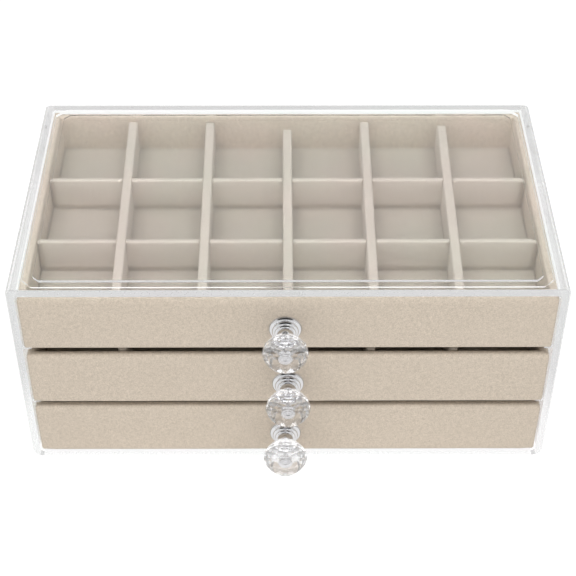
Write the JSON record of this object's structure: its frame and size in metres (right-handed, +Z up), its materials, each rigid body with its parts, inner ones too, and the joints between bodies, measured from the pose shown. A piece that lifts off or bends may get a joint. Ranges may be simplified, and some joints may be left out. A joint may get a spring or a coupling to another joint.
{
  "type": "drawer jewellery box",
  "caption": "Clear acrylic jewellery box with stacked velvet drawers, padded floors, divided cells and faceted clear knobs on chromed stems",
  "frame": {"origin": "on the table, at the middle of the case's underside", "axes": "+X to the right along the case's width, +Y from the open front to the back, +Z up"},
  "size_m": [0.235, 0.1549, 0.1033],
  "materials": {
    "case": "clear, polished",
    "velvet": "short-pile beige velvet",
    "lining": "short-pile beige velvet over board or foam",
    "board": "raw fibreboard, hidden by the velvet",
    "knob_metal": "bright plated",
    "knob_crystal": "clear, faceted, polished",
    "screw_steel": "zinc-plated"
  },
  "bodies": {
    "case": {"outer_case": "case"},
    "top_drawer": {"top_base_board": "board", "top_front_board": "board", "top_back_board": "board", "top_left_board": "board", "top_right_board": "board", "top_velvet_wrap": "velvet", "top_floor_pad": "lining", "top_knob_shank": "knob_metal", "top_knob_head": "knob_crystal", "top_knob_screw": "screw_steel", "top_long_divider_1": "lining", "top_long_divider_2": "lining", "top_long_divider_3": "lining", "top_long_divider_4": "lining", "top_long_divider_5": "lining", "top_cross_divider_1": "lining", "top_cross_divider_2": "lining"},
    "middle_drawer": {"middle_base_board": "board", "middle_front_board": "board", "middle_back_board": "board", "middle_left_board": "board", "middle_right_board": "board", "middle_velvet_wrap": "velvet", "middle_floor_pad": "lining", "middle_knob_shank": "knob_metal", "middle_knob_head": "knob_crystal", "middle_knob_screw": "screw_steel", "middle_long_divider_1": "lining", "middle_long_divider_2": "lining", "middle_long_divider_3": "lining", "middle_long_divider_4": "lining", "middle_cross_divider_1": "lining"},
    "bottom_drawer": {"bottom_base_board": "board", "bottom_front_board": "board", "bottom_back_board": "board", "bottom_left_board": "board", "bottom_right_board": "board", "bottom_velvet_wrap": "velvet", "bottom_floor_pad": "lining", "bottom_knob_shank": "knob_metal", "bottom_knob_head": "knob_crystal", "bottom_knob_screw": "screw_steel"}
  },
  "joints": [
    {"name": "top_drawer_slide", "type": "slide", "parent": "case", "child": "top_drawer", "axis": [0, -1, 0], "range_m": [0, 0.135]},
    {"name": "middle_drawer_slide", "type": "slide", "parent": "case", "child": "middle_drawer", "axis": [0, -1, 0], "range_m": [0, 0.135]},
    {"name": "bottom_drawer_slide", "type": "slide", "parent": "case", "child": "bottom_drawer", "axis": [0, -1, 0], "range_m": [0, 0.135]}
  ]
}
